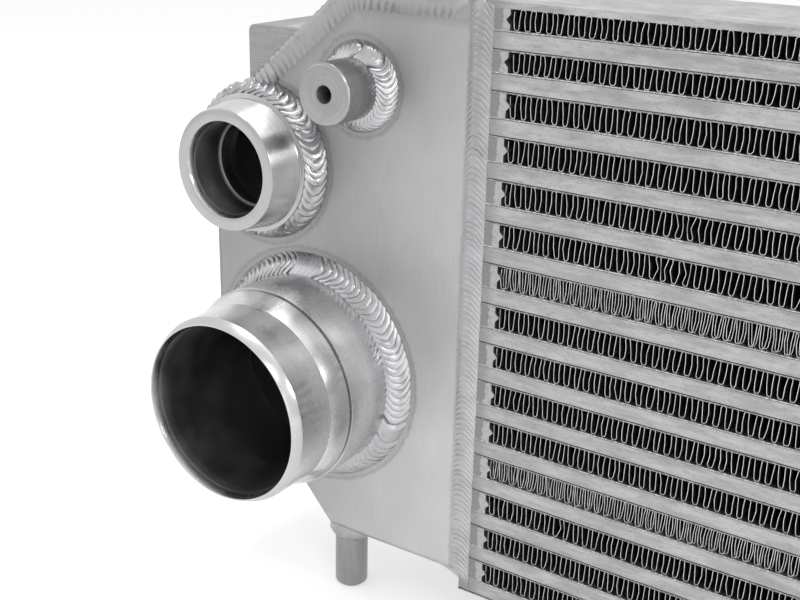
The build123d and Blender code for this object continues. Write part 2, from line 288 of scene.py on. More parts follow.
def add(tree, kind, *values, out=None, **settings):
    """Adds a node with its settings. Its open sockets in turn get a value, or the output that feeds them."""
    made = tree.nodes.new("ShaderNode" + kind)
    for name, value in settings.items():
        setattr(made, name, value)
    for socket, value in zip([s for s in made.inputs if s.enabled], values):
        if isinstance(value, bpy.types.NodeSocket):
            tree.links.new(value, socket)
        else:
            socket.default_value = (*value, 1.0) if socket.type == "RGBA" else value
    return made.outputs[out] if out else next(s for s in made.outputs if s.enabled)


def bare_metal(name, roughness, anisotropy=0.0):
    """Bare aluminium: the colour and the pattern are added by each finish."""
    material = bpy.data.materials.new(name)
    material.use_nodes = True
    tree = material.node_tree
    shader = tree.nodes["Principled BSDF"]
    shader.inputs["Metallic"].default_value = 1.0
    shader.inputs["Roughness"].default_value = roughness
    shader.inputs["Anisotropic"].default_value = anisotropy
    return material, tree, shader, add(tree, "TexCoord", out="Object")


def coat(tree, shader, tone, rough=None, relief=None, depth=0.0):
    """Feeds the shader its colour and, where they vary, its roughness and a relief, depth in mm."""
    tree.links.new(tone, shader.inputs["Base Color"])
    if rough:
        tree.links.new(rough, shader.inputs["Roughness"])
    if relief:
        # strength, distance, filter width in pixels, height
        bump = add(tree, "Bump", 1.0, depth * mm, 0.1, relief)
        tree.links.new(bump, shader.inputs["Normal"])


def shade(base, share):
    return tuple(c * share for c in base)


def speckle(tree, place, size, detail=3.0, roughness=0.55):
    """Noise of a given size in mm along each axis, as a factor about one half."""
    scaled = add(tree, "Mapping", place, (0, 0, 0), (0, 0, 0), [1 / (s * mm) for s in size])
    return add(tree, "TexNoise", scaled, 1.0, detail, roughness)


def tint(tree, factor, low, high, first, second, least=0.0, most=1.0):
    """Goes from one colour to another as a factor rises, from the least to the most of the second."""
    share = add(tree, "MapRange", factor, low, high, least, most, **SOFT)
    return add(tree, "Mix", share, first, second, data_type="RGBA")


def band(tree, value, low, high, soft=0.15):
    """One between two places in mm, nought outside them."""
    rise = add(tree, "MapRange", value, (low - soft) * mm, (low + soft) * mm, **SOFT)
    fall = add(tree, "MapRange", value, (high - soft) * mm, (high + soft) * mm, 1.0, 0.0, **SOFT)
    return add(tree, "Math", rise, fall, operation="MULTIPLY")


def polar(tree, place, centre):
    """About a port's axis: a vector for streaks, the radius and the place along the axis."""
    moved = add(tree, "Mapping", place, (-centre[0] * mm, 0.0, -centre[1] * mm))
    x, y, z = add(tree, "SeparateXYZ", moved).node.outputs
    turn = add(tree, "Math", x, z, operation="ARCTAN2")
    squares = [add(tree, "Math", leg, leg, operation="MULTIPLY") for leg in (x, z)]
    radius = add(tree, "Math", add(tree, "Math", *squares, operation="ADD"), operation="SQRT")
    spread = add(tree, "Math", turn, STREAK_SPREAD * mm, operation="MULTIPLY")
    return add(tree, "CombineXYZ", spread, y, radius), radius, y


def end_distance(tree, place):
    """Distance along X from the middle of the cooler, the same on both tanks."""
    offset = add(tree, "Math", add(tree, "SeparateXYZ", place, out="X"), MIDDLE * mm, operation="SUBTRACT")
    return add(tree, "Math", offset, operation="ABSOLUTE")


def seen_directly(tree):
    """One for rays from the camera and for those that a mirror or a glass sends on."""
    rays = add(tree, "LightPath").node.outputs
    sent_on = add(tree, "Math", rays["Is Glossy Ray"], rays["Is Transmission Ray"], operation="MAXIMUM")
    return add(tree, "Math", rays["Is Camera Ray"], sent_on, operation="MAXIMUM")


def port_heat(tree, place, out, spots):
    """Round each port's weld on the tank's front: its ragged heat mark, and its dark rim."""
    front_only = add(tree, "MapRange", out, (FRONT + 1.0) * mm, (FRONT + 3.0) * mm, 1.0, 0.0, **SOFT)
    marks, rims = [], []
    for centre, toe in WELD_TOES:
        radius = add(tree, "Math", spots, 3.2 * mm, polar(tree, place, centre)[1], operation="MULTIPLY_ADD")
        heated = add(tree, "MapRange", radius, (toe + 3.6) * mm, (toe + 5.0) * mm, 1.0, 0.0, **SOFT)
        marks.append(add(tree, "Math", front_only, heated, operation="MULTIPLY"))
        rim = band(tree, radius, toe + 3.0, toe + 3.8, 0.7)
        rims.append(add(tree, "Math", front_only, rim, operation="MULTIPLY"))
    return marks, rims


def seam_inset(tree, side, up):
    """Distance in from the tank's roof and its upper chamfer, whichever is nearer."""
    corner, foot = TANK_EDGE[1:3]
    chamfer = Vector((foot[1] - corner[1], corner[0] - foot[0])).normalized()
    rise = add(tree, "Math", up, chamfer.y, operation="MULTIPLY")
    across = add(tree, "Math", side, -chamfer.x, rise, operation="MULTIPLY_ADD")
    edge = (MIDDLE - corner[0]) * -chamfer.x + corner[1] * chamfer.y
    from_roof = add(tree, "Math", ROOF * mm, up, operation="SUBTRACT")
    from_chamfer = add(tree, "Math", edge * mm, across, operation="SUBTRACT")
    return add(tree, "Math", from_roof, from_chamfer, operation="MINIMUM")


def satin_sheet(finishes):
    """Aluminium sheet, mill rolled and then rubbed satin: fine upright grain, soft cloudy patches,
    painted light low down and towards the core, painted shade along the folds,
    with a heat mark and a dark rim along each weld."""
    material, tree, shader, place = bare_metal("aluminium_sheet_satin", 0.42)
    base = finishes.sheet
    cloud = speckle(tree, place, (50, 50, 70))
    grain = speckle(tree, place, (0.45, 0.45, 14))
    spots = speckle(tree, place, (1.6, 1.6, 1.6), 4.0)
    out, up = (add(tree, "SeparateXYZ", place, out=axis) for axis in "YZ")
    side = end_distance(tree, place)
    tone = tint(tree, cloud, 0.3, 0.7, shade(base, 0.92), shade(base, 1.08))
    # painted light: the tone made brighter low down and towards the core
    slope = add(tree, "Math", up, 0.3, side, operation="MULTIPLY_ADD")
    beyond_painted_light = add(tree, "MapRange", slope, 0.28, 0.37)
    rubbed = add(tree, "Mix", 1.0, tone, (1.58, 1.58, 1.58), data_type="RGBA", blend_type="MULTIPLY")
    tone = add(tree, "Mix", beyond_painted_light, rubbed, tone, data_type="RGBA")
    tone = tint(tree, grain, 0.25, 0.75, tone, shade(base, 0.7), 0.0, 0.1)
    marks, rims = port_heat(tree, place, out, spots)
    ragged = add(tree, "Math", spots, 3.2 * mm, seam_inset(tree, side, up), operation="MULTIPLY_ADD")
    marks.append(add(tree, "MapRange", ragged, 11.0 * mm, 13.5 * mm, 1.0, 0.0, **SOFT))
    rims.append(band(tree, ragged, 9.6, 10.2, 0.7))
    near_core = add(tree, "Math", spots, -2.2 * mm, side, operation="MULTIPLY_ADD")
    stop = MIDDLE - SEAM_END
    rims.append(add(tree, "MapRange", near_core, (stop - 0.9) * mm, (stop + 0.3) * mm, 1.0, 0.0, **SOFT))
    for factors, strength, dark in ((marks, 0.24, 0.62), (rims, 0.3, 0.4)):
        most = factors[0]
        for factor in factors[1:]:
            most = add(tree, "Math", most, factor, operation="MAXIMUM")
        share = add(tree, "Math", most, strength, operation="MULTIPLY")
        tone = add(tree, "Mix", share, tone, shade(base, dark), data_type="RGBA")
    # painted shade where the front folds into the outer wall and into the floor
    tone = tint(tree, side, (MIDDLE + 66.2) * mm, (MIDDLE + 67.4) * mm, tone, shade(base, 0.45), 0.0, 0.34)
    tone = tint(tree, up, (FLOOR + 2.2) * mm, (FLOOR + 3.4) * mm, tone, shade(base, 0.5), 0.3, 0.0)
    rough = add(tree, "MapRange", grain, 0.2, 0.8, 0.36, 0.5, **SOFT)
    coat(tree, shader, tone, rough, grain, 0.008)
    return material


def turned(name, finishes, centre, brightness, roughness, bore, painted_shade_bands=()):
    """Aluminium turned on a lathe: bright, with fine rings, faint darker streaks along the axis, painted
    shade in bands such as a groove or a forward face, and painted shade in the bore that deepens inwards.
    The bore is (radius in mm, place of its mouth), and a band of painted shade is (from, to, brightness)."""
    material, tree, shader, place = bare_metal(name, roughness, 0.3)
    round_about, radius, out = polar(tree, place, centre)
    rings = speckle(tree, round_about, (60, 0.3, 0.3))
    streaks = speckle(tree, round_about, (1.4, 16, 16), 4.0)
    wear = speckle(tree, place, (14, 14, 14), 5.0)
    base = shade(finishes.turned, brightness)
    tone = tint(tree, rings, 0.25, 0.75, shade(base, 0.88), shade(base, 1.1))
    tone = tint(tree, streaks, 0.5, 0.85, tone, shade(base, 0.6), 0.0, 0.4)
    tone = tint(tree, wear, 0.35, 0.75, tone, shade(base, 0.6), 0.0, 0.2)
    # painted shade in each band, such as a groove or a face turned towards the front
    for low, high, share in painted_shade_bands:
        band_shade = add(tree, "Math", band(tree, out, low, high, 0.1), 0.85, operation="MULTIPLY")
        tone = add(tree, "Mix", band_shade, tone, shade(base, share), data_type="RGBA")
    # painted shade in the bore: the bore colour, stronger further in
    reach, mouth = bore
    inside = add(tree, "MapRange", radius, (reach + 0.1) * mm, (reach + 0.3) * mm, 1.0, 0.0, **SOFT)
    bore_shade_depth = add(tree, "MapRange", out, (mouth - 0.5) * mm, (mouth + 9.0) * mm, 0.2, 1.0)
    dark = add(tree, "Math", inside, bore_shade_depth, operation="MULTIPLY")
    tone = add(tree, "Mix", dark, tone, finishes.bore, data_type="RGBA")
    rough = add(tree, "MapRange", wear, 0.3, 0.7, roughness - 0.05, roughness + 0.1, **SOFT)
    rough = add(tree, "Math", inside, 0.22, rough, operation="MULTIPLY_ADD")
    coat(tree, shader, tone, rough, rings, 0.003)
    return material


def weld_metal(finishes, name, brightness, roughness, painted_roof_shade=0.0):
    """Weld metal laid by hand with a filler rod: smooth on each ripple, with fine freezing lines,
    small dark specks and duller patches where it cooled slowly. It may get painted shade towards the roof."""
    material, tree, shader, place = bare_metal(name, roughness)
    base = shade(finishes.weld, brightness)
    patch = speckle(tree, place, (9, 9, 9))
    fine = speckle(tree, place, (0.5, 0.5, 0.5), 4.0)
    pits = speckle(tree, place, (1.1, 1.1, 1.1), 2.0)
    tone = tint(tree, patch, 0.35, 0.65, shade(base, 0.86), shade(base, 1.08))
    tone = tint(tree, pits, 0.7, 0.76, tone, shade(base, 0.3), 0.0, 0.5)
    tone = tint(tree, fine, 0.3, 0.7, tone, shade(base, 0.6), 0.0, 0.15)
    up = add(tree, "SeparateXYZ", place, out="Z")
    # painted shade: darker towards the roof
    tone = tint(tree, up, 100 * mm, 240 * mm, tone, shade(base, 0.4), 0.0, painted_roof_shade)
    rough = add(tree, "MapRange", patch, 0.3, 0.7, roughness - 0.07, roughness + 0.12, **SOFT)
    coat(tree, shader, tone, rough, fine, 0.006)
    return material


def brazed_bar(finishes):
    """Extruded bar after brazing: grain along its length, pale stains of flux, dull ends by the weld
    and dark specks."""
    material, tree, shader, place = bare_metal("aluminium_bar_brazed", 0.46)
    base = finishes.bars
    grain = speckle(tree, place, (22, 0.5, 0.4), 4.0)
    stain = speckle(tree, place, (18, 14, 3), 5.0, 0.65)
    specks = speckle(tree, place, (0.8, 0.8, 0.8))
    mottle = speckle(tree, place, (4, 3, 1.2), 5.0, 0.7)
    tone = tint(tree, stain, 0.32, 0.68, shade(base, 0.72), shade(base, 1.12))
    tone = tint(tree, grain, 0.3, 0.7, tone, shade(base, 0.78), 0.0, 0.3)
    tone = tint(tree, specks, 0.62, 0.7, tone, shade(base, 0.35), 0.0, 0.55)
    tone = tint(tree, mottle, 0.5, 0.66, tone, shade(base, 0.5), 0.0, 0.42)
    side = add(tree, "Math", stain, 6 * mm, end_distance(tree, place), operation="MULTIPLY_ADD")
    tone = tint(tree, side, (MIDDLE - 72) * mm, (MIDDLE - 66) * mm, tone, shade(base, 0.55), 0.0, 0.6)
    rough = add(tree, "MapRange", stain, 0.3, 0.7, 0.4, 0.55, **SOFT)
    coat(tree, shader, tone, rough, grain, 0.015)
    return material


def clad_sheet(finishes, name, share, dashes):
    """Edge of a clad parting sheet: a thin line of molten cladding, beaded at the fin crests."""
    material, tree, shader, place = bare_metal(name, 0.34)
    beads = speckle(tree, place, (1.3, 1.3, 1.3))
    tone = tint(tree, beads, 0.46, 0.62, shade(finishes.bars, share), linear("F4F4F4"), 0.0, dashes)
    coat(tree, shader, tone)
    return material


def end_bar_metal(finishes):
    """End bars: sawn grey metal beside the tank's weld, then a brighter smear of braze by the fins."""
    material, tree, shader, place = bare_metal("aluminium_end_bar", 0.45)
    base = finishes.bars
    smear = speckle(tree, place, (3, 3, 3), 5.0, 0.6)
    patch = speckle(tree, place, (1.5, 1.5, 1.5), 4.0)
    edge = add(tree, "Math", smear, 5 * mm, end_distance(tree, place), operation="MULTIPLY_ADD")
    tone = tint(tree, edge, (MIDDLE - 69.6) * mm, (MIDDLE - 68.7) * mm, shade(base, 0.54), shade(base, 0.92),
                1.0, 0.0)
    tone = tint(tree, patch, 0.45, 0.7, tone, shade(base, 0.5), 0.0, 0.5)
    coat(tree, shader, tone, relief=smear, depth=0.05)
    return material


def fin_strip_metal(finishes, name, edge_at):
    """Thin fin strip: the slit edge is bright, brightest where the crest is brazed down, and the walls
    behind it get painted shade that darkens inwards."""
    material, tree, shader, place = bare_metal(name, 0.38)
    base = finishes.fins
    out, up = (add(tree, "SeparateXYZ", place, out=axis) for axis in "YZ")
    vary = speckle(tree, place, (3, 3, 3), 2.0)
    edge = tint(tree, vary, 0.3, 0.7, shade(base, 0.85), shade(base, 1.2))
    over_bar = add(tree, "Math", up, (CORE_BOTTOM + LAYER) * mm, operation="SUBTRACT")
    rise = add(tree, "Math", over_bar, (LAYER + ROW_HEIGHT) * mm, operation="MODULO")
    edge = tint(tree, rise, 0.35 * mm, 0.75 * mm, edge, linear("FFFFFF"), 1.0, 0.0)
    middle = (FRONT + BACK) / 2
    half = middle - edge_at
    offset = add(tree, "Math", out, middle * mm, operation="SUBTRACT")
    depth = add(tree, "Math", offset, operation="ABSOLUTE")
    # painted shade in the passages: the walls darken from just behind the edge inwards
    painted_front_light = add(tree, "MapRange", depth, (half - 9) * mm, (half - 1) * mm)
    walls = add(tree, "Mix", painted_front_light, finishes.passage_shade, shade(finishes.passage_shade, 7.0), data_type="RGBA")
    coat(tree, shader, tint(tree, depth, (half - 0.5) * mm, (half - 0.05) * mm, edge, walls, 1.0, 0.0))
    return material


def satin_block(finishes):
    """Sawn bar stock: flat grey with fine saw lines and a few rubbed spots."""
    material, tree, shader, place = bare_metal("aluminium_bar_sawn", 0.45)
    base = finishes.sheet
    lines = speckle(tree, place, (12, 12, 0.5))
    spots = speckle(tree, place, (4, 4, 4), 4.0)
    tone = tint(tree, lines, 0.3, 0.7, shade(base, 0.9), shade(base, 1.04))
    tone = tint(tree, spots, 0.5, 0.7, tone, shade(base, 0.6), 0.0, 0.25)
    coat(tree, shader, tone, relief=lines, depth=0.01)
    return material


def drawn_peg(finishes):
    """Drawn bar: fine lines run down its length, with a few rubbed patches."""
    material, tree, shader, place = bare_metal("aluminium_peg_bar", 0.34)
    base = finishes.sheet
    lines = speckle(tree, place, (0.6, 0.6, 14), 2.0)
    rubbed = speckle(tree, place, (5, 5, 6), 4.0)
    tone = tint(tree, lines, 0.3, 0.7, shade(base, 0.8), shade(base, 0.92))
    tone = tint(tree, rubbed, 0.5, 0.8, tone, shade(base, 0.55), 0.0, 0.3)
    coat(tree, shader, tone, relief=lines, depth=0.012)
    return material


def studio_paper(finishes):
    """Matt white studio paper, with a faint fibre, that shows as clean white beyond the shadow."""
    material = bpy.data.materials.new("studio_paper_matt")
    material.use_nodes = True
    tree = material.node_tree
    shader = tree.nodes["Principled BSDF"]
    shader.inputs["Roughness"].default_value = 0.9
    shader.inputs["Specular IOR Level"].default_value = 0.1
    fibre = speckle(tree, add(tree, "TexCoord", out="Object"), (3, 3, 3), 2.0)
    coat(tree, shader, tint(tree, fibre, 0.3, 0.7, shade(finishes.floor, 0.98), finishes.floor))
    strength = add(tree, "Math", seen_directly(tree), 0.45, operation="MULTIPLY")
    glow = add(tree, "Emission", (1, 1, 1), strength)
    both = add(tree, "AddShader", shader.outputs[0], glow)
    tree.links.new(both, tree.nodes["Material Output"].inputs["Surface"])
    return material


# ---- pieces ----
def lathe(name, steps, centre, segments, solid=False, bevel=None, upright=False):
    """A turned piece: a ring pulled out and resized step by step.
    Steps are (radius, distance out) in mm, out from the tank's front or down from its floor."""
    x, z = centre
    start()
    first, out = steps[0]

    def at(distance):
        return (x * mm, 0.0, (z - distance) * mm) if upright else (x * mm, (FRONT - distance) * mm, z * mm)

    turn = (0.0, 0.0, 0.0) if upright else (math.pi / 2, 0.0, 0.0)
    bpy.ops.mesh.primitive_circle_add(vertices=segments, radius=first * mm, location=at(out), rotation=turn)
    obj = bpy.context.object
    obj.name = name
    place_in_mesh()
    bpy.ops.object.mode_set(mode="EDIT")
    bpy.ops.mesh.select_all(action="SELECT")
    if solid:
        bpy.ops.mesh.edge_face_add()
        bpy.ops.mesh.select_mode(type="EDGE")
    last, reached = first, out
    for radius, out in list(steps[1:]) + ([] if solid else [steps[0]]):
        move = Vector(at(out)) - Vector(at(reached))
        bpy.ops.mesh.extrude_edges_move(TRANSFORM_OT_translate={"value": tuple(move)})
        if radius != last:
            share = radius / last
            bpy.ops.transform.resize(value=(share, share, share), center_override=at(out))
        last, reached = radius, out
    if solid:
        bpy.ops.mesh.edge_face_add()
    bpy.ops.object.mode_set(mode="OBJECT")
    tidy(obj)
    modify(obj, "BEVEL", width=bevel or bpy.context.scene.cooler_sizes.turned_edge,
           limit_method="ANGLE", angle_limit=math.radians(12), segments=2, use_clamp_overlap=True)
    settle(obj, 25)
    return obj


def bar(name, y_span, z_span, edge):
    """A bar as long as the core with rounded edges, its long sides cut so that they can waver."""
    start()
    low, high = (Vector(corner) for corner in zip((CORE_LEFT, CORE_RIGHT), y_span, z_span))
    bpy.ops.mesh.primitive_cube_add(size=1.0, location=(low + high) / 2 * mm)
    obj = bpy.context.object
    obj.name = name
    obj.scale = (high - low) * mm
    place_in_mesh()
    modify(obj, "BEVEL", width=edge, segments=2, limit_method="ANGLE", angle_limit=math.radians(40))
    for i in range(1, BAR_CUTS):
        edit_all(obj)
        at = low.x + (high.x - low.x) * i / BAR_CUTS
        bpy.ops.mesh.bisect(plane_co=(at * mm, 0, 0), plane_no=(1, 0, 0))
        bpy.ops.object.mode_set(mode="OBJECT")
    return obj


def arc(first, second, crown, count):
    """Points of a crowned section from one toe to the other, with the way out at each."""
    a, b = Vector(first), Vector(second)
    span = b - a
    out = Vector((span.y, -span.x)).normalized()
    points = []
    for i in range(count + 1):
        t = i / count
        tilt = span.normalized() * (2 * t - 1) * 4 * crown / span.length
        points.append((a + span * t + out * (4 * crown * t * (1 - t)), (out + tilt).normalized(), t))
    return points


def path(name, corners):
    """A line for a bead to follow, drawn flat. Corners are in mm."""
    curve = bpy.data.curves.new(name, "CURVE")
    curve.dimensions = "2D"
    spline = curve.splines.new("POLY")
    spline.points.add(len(corners) - 1)
    for point, (x, y) in zip(spline.points, corners):
        point.co = (x * mm, y * mm, 0.0, 1.0)
    curve.use_stretch = True
    curve.use_deform_bounds = True
    obj = bpy.data.objects.new(name, curve)
    bpy.context.scene.collection.objects.link(obj)
    return obj


def ring_path(radius, first, last):
    """Corners of a round line from one angle to another, in degrees, as seen from the front."""
    count = math.ceil(abs(last - first) / 2)
    turns = [math.radians(first + (last - first) * i / count) for i in range(count + 1)]
    return [(radius * math.cos(t), radius * math.sin(t)) for t in turns]


def rounded(corners, radius, steps=6, spacing=3.0):
    """The corners of a line with each turn rounded, and with points close enough to bend by."""
    made = [corners[0]]
    for before, corner, after in zip(corners, corners[1:], corners[2:]):
        here = Vector(corner)
        back = (Vector(before) - here).normalized() * radius
        ahead = (Vector(after) - here).normalized() * radius
        for k in range(steps + 1):
            spot = here + back * (1 - k / steps) ** 2 + ahead * (k / steps) ** 2
            made.append((spot.x, spot.y))
    made.append(corners[-1])
    close = []
    for (x0, y0), (x1, y1) in zip(made, made[1:]):
        count = max(1, math.ceil(math.hypot(x1 - x0, y1 - y0) / spacing))
        close += [(x0 + (x1 - x0) * k / count, y0 + (y1 - y0) * k / count) for k in range(count)]
    return close + [made[-1]]


# how high the bead stands from one crease to the next: a slow rise, then a sharp fall
RIPPLE = (0.0, 0.45, 0.75, 0.95, 1.0)


def ripple_strip(name, section, toes, pitch, firm):
    """One ripple of a bead: a grid whose rows follow the section and whose columns follow RIPPLE.
    Each row is kept as a vertex group."""
    rings, last = len(RIPPLE), len(section) - 1
    start()
    bpy.ops.mesh.primitive_grid_add(x_subdivisions=rings, y_subdivisions=last, size=1.0)
    obj = bpy.context.object
    obj.name = name
    across = sorted({round(v.co.y, 5) for v in obj.data.vertices})
    along = sorted({round(v.co.x, 5) for v in obj.data.vertices})
    place = {(along.index(round(v.co.x, 5)), across.index(round(v.co.y, 5))): v.index
             for v in obj.data.vertices}
    height = bpy.context.scene.cooler_sizes.ripple_relief / mm * firm
    # the toes swell with each ripple by this share of its length
    wide = (Vector(toes[1]) - Vector(toes[0])).normalized() * pitch / mm * 0.15 * firm
    for j in range(len(section)):
        obj.vertex_groups.new(name=f"row_{j}").add([place[i, j] for i in range(rings + 1)], 1.0, "REPLACE")
    for j, (spot, out, t) in enumerate(section):
        for i in range(rings + 1):
            swell = RIPPLE[i % rings] - 0.5
            moved = spot + out * (height * swell * (1 - (2 * t - 1) ** 4))
            moved += wide * swell * (2 * t - 1) ** 3 * (0 < j < last)
            pick(obj, {place[i, j]})
            shift(*(Vector((i * pitch / rings / mm, *moved)) - Vector((along[i], across[j], 0.0)) / mm))
    bpy.ops.object.mode_set(mode="OBJECT")
    return obj


def bead(name, corners, toes, crown, pitch, bow, root, turn, centre, seed,
         firm=1.0, skew=1.0, lean=0.0, ends=4.0):
    """A weld bead. One ripple is shaped and repeated along a straight run, whose ends taper. Each
    row of the section then leads by its share of the bow, and the run is bent round its line.
    Toes are (outwards in the plane of the line, up from it), and root is the hidden corner."""
    section = [(Vector(root), Vector((0, 0)), 0.0), *arc(*toes, crown, 10)]
    section.append((Vector(root), Vector((0, 0)), 1.0))
    obj = ripple_strip(name, section, toes, pitch, firm)
    whole = sum(math.dist(a, b) for a, b in zip(corners, corners[1:]))
    count = max(2, round(whole * mm / pitch))
    modify(obj, "ARRAY", count=count, use_relative_offset=False, use_constant_offset=True,
           constant_offset_displace=(pitch, 0, 0), use_merge_vertices=True, merge_threshold=0.00001)
    run, step = count * pitch / mm, pitch / len(RIPPLE) / mm
    for k in range(int(ends / step)):
        share = 0.35 + 0.65 * math.sin(math.pi / 2 * k * step / ends)
        for at in (k * step, run - k * step):
            pick(obj, lambda x, y, z: abs(x - at) < step / 4)
            bpy.ops.transform.resize(value=(1, share, share), center_override=(0, root[0] * mm, root[1] * mm))
    for j, (spot, out, t) in enumerate(section):
        pick(obj, set())
        bpy.ops.object.vertex_group_set_active(group=f"row_{j}")
        bpy.ops.object.vertex_group_select()
        eased = t**skew
        shift(bow * 4 * eased * (1 - eased) - lean * t)
    bpy.ops.object.mode_set(mode="OBJECT")
    obj.vertex_groups.clear()
    # the unevenness reads world places, so each bead is set aside by its seed to get its own
    obj.location = (seed * 0.037, seed * 0.011, 0)
    uneven(obj, pitch / mm * 0.45 * min(1.0, firm * 2), 5.0, "X")
    uneven(obj, 0.5 * firm, 7.0, "Z")
    uneven(obj, 0.5 * firm, 6.0, "Y")
    obj.location = (0, 0, 0)
    line = path(name + "_line", corners)
    modify(obj, "CURVE", object=line, deform_axis="POS_X")
    bpy.data.objects.remove(line)
    obj.matrix_world = Matrix.Translation([c * mm for c in centre]) @ turn
    hold(obj)
    place_in_mesh()
    tidy(obj, 0.02)
    edit_all(obj)
    bpy.ops.mesh.fill_holes(sides=0)
    bpy.ops.mesh.normals_make_consistent(inside=False)
    bpy.ops.object.mode_set(mode="OBJECT")
    settle(obj, 60)
    return obj


def round_bead(name, centre, radius, toes, pitch, bow, runs, seed):
    """A bead round a port, laid clockwise in several runs: (first angle, last angle, ripple share)."""
    made = [bead(f"{name}_{i}", ring_path(radius, first, last), toes, 1.0, pitch, bow, (-1.0, -1.0),
                 FACING, (centre[0], FRONT, centre[1]), seed + i, firm)
            for i, (first, last, firm) in enumerate(runs)]
    return join(name, made)


# a bead's line is drawn flat. This stands its plane up to face forwards, the third axis out of the front
FACING = Matrix.Rotation(math.pi / 2, 4, "X")
# and here it is stood across the core, its third axis along X
ACROSS = Matrix(((0, 0, 1, 0), (1, 0, 0, 0), (0, 1, 0, 0), (0, 0, 0, 1)))


def fin_row(name, bottom, height, front, depth, offset, waves, base):
    """One row of folded strip at its place, each with its own wander."""
    sizes = bpy.context.scene.cooler_sizes
    obj = copy(base, name, (FIN_START + offset, front, bottom))
    edit_all(obj)
    bpy.ops.transform.resize(value=(1, depth, height), center_override=(0, front * mm, bottom * mm))
    bpy.ops.object.mode_set(mode="OBJECT")
    modify(obj, "ARRAY", count=waves, use_relative_offset=False, use_constant_offset=True,
           constant_offset_displace=(sizes.fin_wave, 0, 0), use_merge_vertices=True,
           merge_threshold=0.00001)
    uneven(obj, sizes.fin_wander / mm, 3.5, "X")
    uneven(obj, sizes.fin_wander / mm * 0.8, 12.0, "X")
    modify(obj, "SOLIDIFY", thickness=sizes.fin_strip, offset=0.0, use_rim=True)
    settle(obj, 50)
    return obj


def fin_wave():
    """One wave of the strip, 1 mm high and deep: a wide U, its right leg leaning out, then a narrower
    crest."""
    wave = bpy.context.scene.cooler_sizes.fin_wave / mm
    # share of the wave's length, and height
    profile = [(0.0, 0.90), (-0.01, 0.5), (0.02, 0.11), (0.09, 0.02), (0.24, 0.0), (0.39, 0.02), (0.47, 0.11),
               (0.53, 0.5), (0.56, 0.89), (0.62, 0.98), (0.77, 1.0), (0.93, 0.98), (1.0, 0.90)]
    start()
    bpy.ops.mesh.primitive_grid_add(x_subdivisions=len(profile) - 1, y_subdivisions=1, size=1.0)
    obj = bpy.context.object
    obj.name = "fin_wave"
    along = sorted({round(v.co.x, 5) for v in obj.data.vertices})
    spots = {v.index: (along.index(round(v.co.x, 5)), v.co.y) for v in obj.data.vertices}
    for index, (column, side) in spots.items():
        x, z = profile[column]
        pick(obj, {index})
        shift(x * wave - along[column] / mm, 0.5 + math.copysign(0.5, side) - side / mm, z)
    bpy.ops.object.mode_set(mode="OBJECT")
    return obj


def rows():
    """Bottom of each layer, and bottom and height of the air row over it."""
    level = CORE_BOTTOM
    for i in range(ROW_COUNT):
        height = ROW_HEIGHT if i < ROW_COUNT - CRUSHED_ROWS else CRUSHED_HEIGHT
        yield level, level + LAYER, height
        level += LAYER + height


class COOLER_OT_stage(bpy.types.Operator):
    """Adds the studio floor, the soft lamps, the pale surroundings and the camera"""

    bl_idname = "cooler.stage"
    bl_label = "Stage"

    def execute(self, context):
        start()
        bpy.ops.mesh.primitive_plane_add(size=14.0, location=(0.3, 0.0, PEG_TIP * mm))
        floor = context.object
        floor.name = "studio_floor"
        place_in_mesh()
        floor.data.materials.append(studio_paper(context.scene.cooler_finishes))
        # name, place, what it points at, width and height, power
        lamps = (
            ("lamp_over_right", (0.75, -0.75, 1.05), (0.0, 0.0, 0.1), (0.55, 0.4), 2.2),
            ("lamp_right", (1.25, -0.95, 0.35), (0.05, 0.0, 0.1), (0.3, 0.7), 1.6),
            ("lamp_left", (-1.1, -0.7, 0.7), (0.0, 0.0, 0.1), (0.9, 0.9), 2.0),
            ("lamp_top", (0.3, 0.4, 1.5), (0.3, 0.0, 0.0), (1.6, 1.2), 4.0),
            ("lamp_glint_above", (-0.16, 0.06, 1.3), (-0.02, -0.05, 0.1), (0.16, 0.3), 2.2),
            ("lamp_glint_right", (1.2, -0.03, 0.6), (-0.02, -0.05, 0.1), (0.16, 0.3), 2.0),
        )
        for name, spot, target, size, power in lamps:
            lamp = bpy.data.lights.new(name, "AREA")
            lamp.shape = "RECTANGLE"
            lamp.size, lamp.size_y = size
            lamp.energy = power
            obj = bpy.data.objects.new(name, lamp)
            context.scene.collection.objects.link(obj)
            obj.location = spot
            obj.rotation_euler = (Vector(target) - Vector(spot)).to_track_quat("-Z", "Y").to_euler()
        world = bpy.data.worlds.new("studio")
        world.use_nodes = True
        tree = world.node_tree
        strength = add(tree, "MapRange", seen_directly(tree), 0.0, 1.0, 0.55, 1.0, **SOFT)
        ground = tree.nodes["Background"]
        ground.inputs["Color"].default_value = (1, 1, 1, 1)
        tree.links.new(strength, ground.inputs["Strength"])
        context.scene.world = world
        context.scene.view_settings.view_transform = "Standard"
        camera = bpy.data.cameras.new("camera")
        camera.lens, camera.sensor_width = 53.64, 36.0
        camera.shift_x, camera.shift_y = -0.0148, 0.0094
        camera.clip_start = 0.01
        obj = bpy.data.objects.new("camera", camera)
        spot = (0.2825, -0.3919, 0.2924)
        right, up, behind = (0.8357, 0.5487, 0.0234), (-0.2117, 0.2825, 0.9357), (0.5068, -0.7869, 0.3522)
        obj.matrix_world = Matrix.Translation(spot) @ Matrix((right, up, behind)).transposed().to_4x4()
        context.scene.collection.objects.link(obj)
        context.scene.camera = obj
        return {"FINISHED"}


